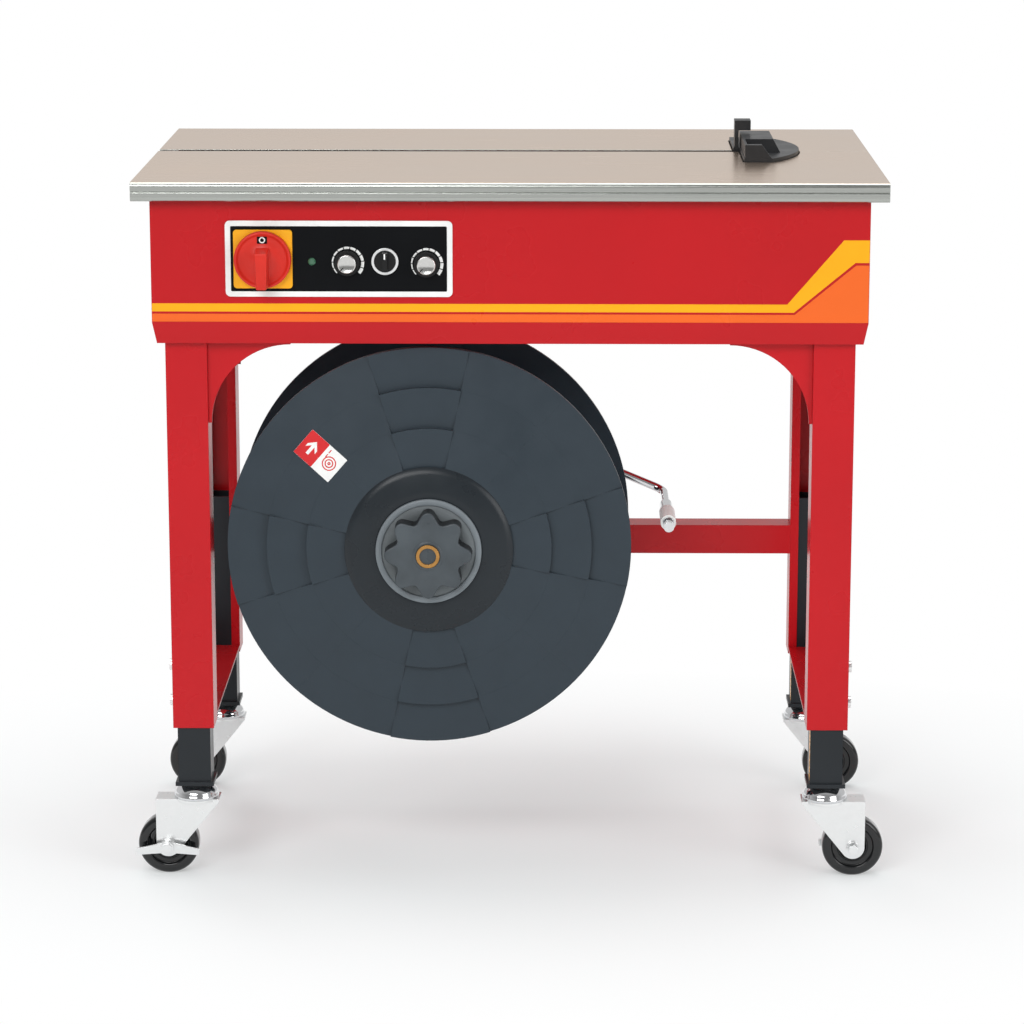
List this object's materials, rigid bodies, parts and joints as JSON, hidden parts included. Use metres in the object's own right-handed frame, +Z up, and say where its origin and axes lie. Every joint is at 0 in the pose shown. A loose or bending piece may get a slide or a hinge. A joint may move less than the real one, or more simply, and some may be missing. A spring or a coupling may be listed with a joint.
{
  "type": "strapping machine",
  "caption": "Table-type semi-automatic strapping machine on castors: stainless table with strap slot, red body with controls, adjustable legs and a strap reel below.",
  "frame": {"origin": "middle of the outer box, on the floor", "axes": "+X to the operator's right, +Y away from the operator, +Z up"},
  "size_m": [0.926, 0.582, 0.9055],
  "materials": {
    "red_paint": "satin powder coat",
    "stainless": "brushed",
    "zinc_steel": "zinc plated",
    "black_paint": "satin",
    "wheel_black": "glossy",
    "reel_plastic": "satin moulded",
    "brass": "turned",
    "white_plastic": "smooth",
    "panel_black": "printed",
    "yellow_plastic": "smooth",
    "red_plastic": "smooth",
    "lamp_green": "translucent",
    "knob_black": "smooth",
    "cast_grey": "painted casting",
    "belt_rubber": "matt",
    "board_green": "coated"
  },
  "bodies": {
    "chassis": {"front_panel": "red_paint", "rear_panel": "red_paint", "side_panel_left": "red_paint", "side_panel_right": "red_paint", "floor_pan": "red_paint", "table_hinges": "zinc_steel", "leg_front_left": "red_paint", "leg_front_right": "red_paint", "leg_rear_left": "red_paint", "leg_rear_right": "red_paint", "leg_bolts": "zinc_steel", "leg_gussets": "red_paint", "side_rails": "red_paint", "rear_cross_bar": "red_paint", "reel_shaft": "zinc_steel", "reel_bracket": "red_paint", "control_plate": "panel_black", "switch_plate": "yellow_plastic", "indicator_lamp": "lamp_green", "selector_bezel": "zinc_steel", "guide_base": "knob_black", "guide_blocks": "knob_black", "head_frame": "cast_grey", "drive_motor": "cast_grey", "drive_belt": "belt_rubber", "heater_transformer": "cast_grey", "control_board": "board_green"},
    "front_table": {"table_front_plate": "stainless"},
    "rear_table": {"table_rear_plate": "stainless"},
    "reel": {"reel_flange_front": "reel_plastic", "reel_flange_rear": "reel_plastic", "reel_drum": "reel_plastic", "hub_nut": "reel_plastic", "hub_bush": "brass"},
    "strap_arm": {"strap_arm": "zinc_steel"},
    "guide_roller": {"guide_roller": "white_plastic"},
    "main_switch": {"main_switch_handle": "red_plastic"},
    "selector": {"selector_handle": "knob_black"},
    "heat_knob": {"heat_knob": "knob_black"},
    "tension_knob": {"tension_knob": "knob_black"},
    "camshaft": {"camshaft": "zinc_steel"},
    "motor_pulley": {"motor_pulley": "cast_grey"},
    "feed_roller": {"feed_roller": "cast_grey"},
    "pinch_roller": {"pinch_roller": "cast_grey"},
    "slide_table": {"slide_table": "stainless"},
    "heater_blade": {"heater_blade": "zinc_steel"},
    "inner_leg_front_left": {"inner_leg_front_left": "black_paint"},
    "castor_front_left": {"castor_fork_front_left": "zinc_steel"},
    "wheel_front_left": {"castor_wheel_front_left": "wheel_black"},
    "brake_left": {"brake_lever_left": "zinc_steel"},
    "inner_leg_front_right": {"inner_leg_front_right": "black_paint"},
    "castor_front_right": {"castor_fork_front_right": "zinc_steel"},
    "wheel_front_right": {"castor_wheel_front_right": "wheel_black"},
    "brake_right": {"brake_lever_right": "zinc_steel"},
    "inner_leg_rear_left": {"inner_leg_rear_left": "black_paint"},
    "castor_rear_left": {"castor_fork_rear_left": "zinc_steel"},
    "wheel_rear_left": {"castor_wheel_rear_left": "wheel_black"},
    "inner_leg_rear_right": {"inner_leg_rear_right": "black_paint"},
    "castor_rear_right": {"castor_fork_rear_right": "zinc_steel"},
    "wheel_rear_right": {"castor_wheel_rear_right": "wheel_black"}
  },
  "joints": [
    {"name": "front_table_lift", "type": "hinge", "parent": "chassis", "child": "front_table", "pos_m": [0, -0.262, 0.85], "axis": [1, 0, 0], "range_deg": [0, 75]},
    {"name": "rear_table_lift", "type": "hinge", "parent": "chassis", "child": "rear_table", "pos_m": [0, 0.279, 0.85], "axis": [-1, 0, 0], "range_deg": [0, 75]},
    {"name": "leg_height_front_left", "type": "slide", "parent": "chassis", "child": "inner_leg_front_left", "axis": [0, 0, -1], "range_m": [-0.065, 0.075]},
    {"name": "castor_swivel_front_left", "type": "hinge", "parent": "inner_leg_front_left", "child": "castor_front_left", "pos_m": [-0.3885, -0.2165, 0.1], "axis": [0, 0, 1], "continuous": true},
    {"name": "wheel_spin_front_left", "type": "hinge", "parent": "castor_front_left", "child": "wheel_front_left", "pos_m": [-0.4235, -0.2165, 0.0375], "axis": [0, 1, 0], "continuous": true},
    {"name": "brake_lever_turn_left", "type": "hinge", "parent": "castor_front_left", "child": "brake_left", "pos_m": [-0.4235, -0.2165, 0.0375], "axis": [0, 1, 0], "range_deg": [-30, 30]},
    {"name": "leg_height_front_right", "type": "slide", "parent": "chassis", "child": "inner_leg_front_right", "axis": [0, 0, -1], "range_m": [-0.065, 0.075]},
    {"name": "castor_swivel_front_right", "type": "hinge", "parent": "inner_leg_front_right", "child": "castor_front_right", "pos_m": [0.3885, -0.2165, 0.1], "axis": [0, 0, 1], "continuous": true},
    {"name": "wheel_spin_front_right", "type": "hinge", "parent": "castor_front_right", "child": "wheel_front_right", "pos_m": [0.4235, -0.2165, 0.0375], "axis": [0, 1, 0], "continuous": true},
    {"name": "brake_lever_turn_right", "type": "hinge", "parent": "castor_front_right", "child": "brake_right", "pos_m": [0.4235, -0.2165, 0.0375], "axis": [0, 1, 0], "range_deg": [-30, 30]},
    {"name": "leg_height_rear_left", "type": "slide", "parent": "chassis", "child": "inner_leg_rear_left", "axis": [0, 0, -1], "range_m": [-0.065, 0.075]},
    {"name": "castor_swivel_rear_left", "type": "hinge", "parent": "inner_leg_rear_left", "child": "castor_rear_left", "pos_m": [-0.3885, 0.1505, 0.1], "axis": [0, 0, 1], "continuous": true},
    {"name": "wheel_spin_rear_left", "type": "hinge", "parent": "castor_rear_left", "child": "wheel_rear_left", "pos_m": [-0.4235, 0.1505, 0.0375], "axis": [0, 1, 0], "continuous": true},
    {"name": "leg_height_rear_right", "type": "slide", "parent": "chassis", "child": "inner_leg_rear_right", "axis": [0, 0, -1], "range_m": [-0.065, 0.075]},
    {"name": "castor_swivel_rear_right", "type": "hinge", "parent": "inner_leg_rear_right", "child": "castor_rear_right", "pos_m": [0.3885, 0.1505, 0.1], "axis": [0, 0, 1], "continuous": true},
    {"name": "wheel_spin_rear_right", "type": "hinge", "parent": "castor_rear_right", "child": "wheel_rear_right", "pos_m": [0.4235, 0.1505, 0.0375], "axis": [0, 1, 0], "continuous": true},
    {"name": "reel_spin", "type": "hinge", "parent": "chassis", "child": "reel", "pos_m": [-0.098, -0.1355, 0.419], "axis": [0, 1, 0], "continuous": true},
    {"name": "strap_arm_swing", "type": "hinge", "parent": "chassis", "child": "strap_arm", "pos_m": [0.009, -0.006, 0.517], "axis": [0, -1, 0], "range_deg": [0, 40]},
    {"name": "guide_roller_spin", "type": "hinge", "parent": "strap_arm", "child": "guide_roller", "pos_m": [0.19305, -0.164, 0.44001], "axis": [0, 1, 0], "continuous": true},
    {"name": "main_switch_turn", "type": "hinge", "parent": "chassis", "child": "main_switch", "pos_m": [-0.293, -0.27, 0.774], "axis": [0, 1, 0], "range_deg": [0, 90]},
    {"name": "selector_turn", "type": "hinge", "parent": "chassis", "child": "selector", "pos_m": [-0.148, -0.262, 0.7717], "axis": [0, 1, 0], "range_deg": [-45, 45]},
    {"name": "heat_knob_turn", "type": "hinge", "parent": "chassis", "child": "heat_knob", "pos_m": [-0.193, -0.262, 0.7695], "axis": [0, 1, 0], "range_deg": [-135, 135]},
    {"name": "tension_knob_turn", "type": "hinge", "parent": "chassis", "child": "tension_knob", "pos_m": [-0.099, -0.262, 0.768], "axis": [0, 1, 0], "range_deg": [-135, 135]},
    {"name": "camshaft_spin", "type": "hinge", "parent": "chassis", "child": "camshaft", "pos_m": [0.18, 0.04, 0.765], "axis": [0, 1, 0], "continuous": true},
    {"name": "motor_spin", "type": "hinge", "parent": "chassis", "child": "motor_pulley", "pos_m": [0.03, 0.11, 0.733], "axis": [0, 1, 0], "continuous": true},
    {"name": "feed_roller_spin", "type": "hinge", "parent": "chassis", "child": "feed_roller", "pos_m": [0.17, -0.1, 0.72], "axis": [0, 1, 0], "continuous": true},
    {"name": "pinch_roller_spin", "type": "hinge", "parent": "chassis", "child": "pinch_roller", "pos_m": [0.2107, -0.1, 0.72], "axis": [0, 1, 0], "continuous": true},
    {"name": "slide_table_draw", "type": "slide", "parent": "chassis", "child": "slide_table", "axis": [0, 1, 0], "range_m": [0, 0.025], "stiffness_N_per_m": 60, "springref_m": -0.01},
    {"name": "heater_blade_swing", "type": "hinge", "parent": "chassis", "child": "heater_blade", "pos_m": [0.235, 0.029, 0.79], "axis": [0, -1, 0], "range_deg": [0, 20], "stiffness_Nm_per_rad": 0.2, "springref_deg": -11.46}
  ],
  "couplings": [
    {"joint": "motor_spin", "follows": "camshaft_spin", "ratio": 1.8182},
    {"joint": "pinch_roller_spin", "follows": "feed_roller_spin", "ratio": -1.6667}
  ]
}
